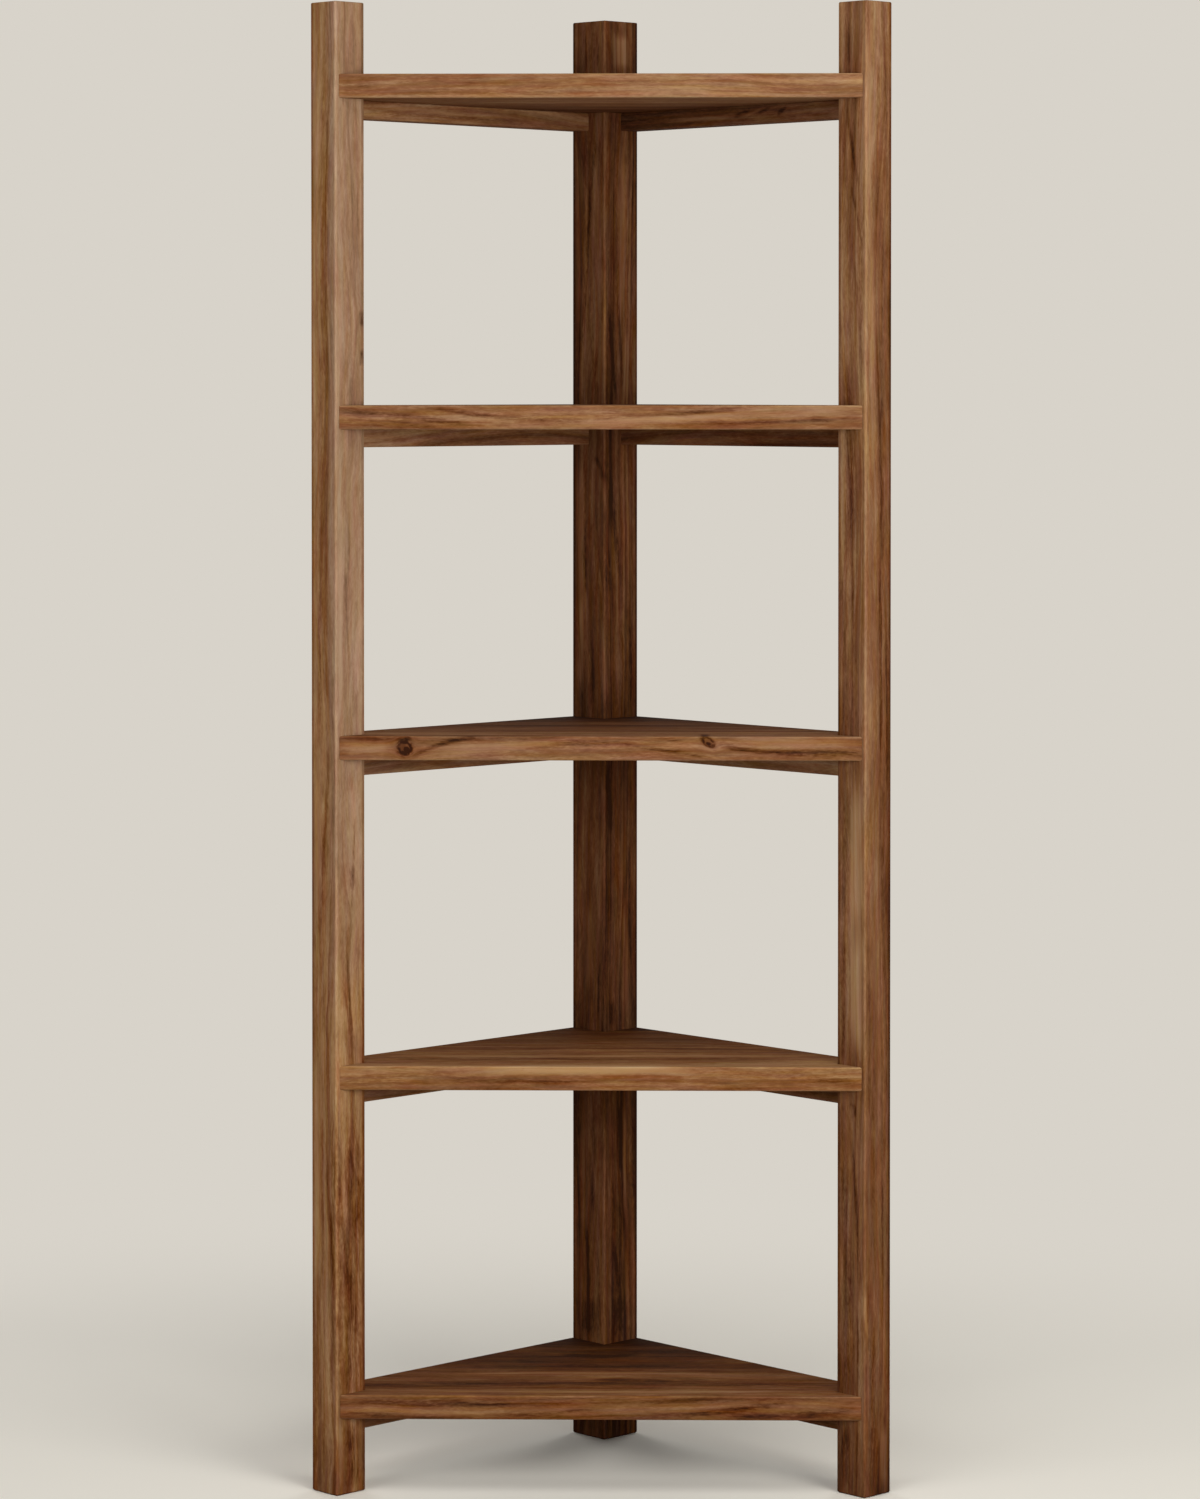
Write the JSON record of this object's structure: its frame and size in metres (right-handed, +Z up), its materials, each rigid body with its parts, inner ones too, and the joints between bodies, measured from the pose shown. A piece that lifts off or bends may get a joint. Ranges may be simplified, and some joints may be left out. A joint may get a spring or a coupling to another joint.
{
  "type": "corner plant stand",
  "caption": "Tall open corner stand: square posts carry evenly spaced triangular shelf boards that hold potted plants in a room's corner.",
  "frame": {"origin": "on the floor, at the middle of the bounding box", "axes": "+Z up, +Y back towards the room's corner, +X to the right as seen from the room"},
  "size_m": [0.6018, 0.3282, 1.55],
  "materials": {
    "post_wood": "satin clear oil over brown hardwood",
    "board_wood": "satin clear oil over figured brown hardwood, edge-glued",
    "rail_wood": "satin clear oil over dark brown hardwood",
    "screw_steel": "bright zinc plate"
  },
  "bodies": {
    "root": {"front_left_post": "post_wood", "front_right_post": "post_wood", "back_post": "post_wood", "shelf_1": "board_wood", "left_rail_1": "rail_wood", "right_rail_1": "rail_wood", "shelf_1_screws": "screw_steel", "shelf_2": "board_wood", "left_rail_2": "rail_wood", "right_rail_2": "rail_wood", "shelf_2_screws": "screw_steel", "shelf_3": "board_wood", "left_rail_3": "rail_wood", "right_rail_3": "rail_wood", "shelf_3_screws": "screw_steel", "shelf_4": "board_wood", "left_rail_4": "rail_wood", "right_rail_4": "rail_wood", "shelf_4_screws": "screw_steel", "shelf_5": "board_wood", "left_rail_5": "rail_wood", "right_rail_5": "rail_wood", "shelf_5_screws": "screw_steel"}
  },
  "joints": []
}
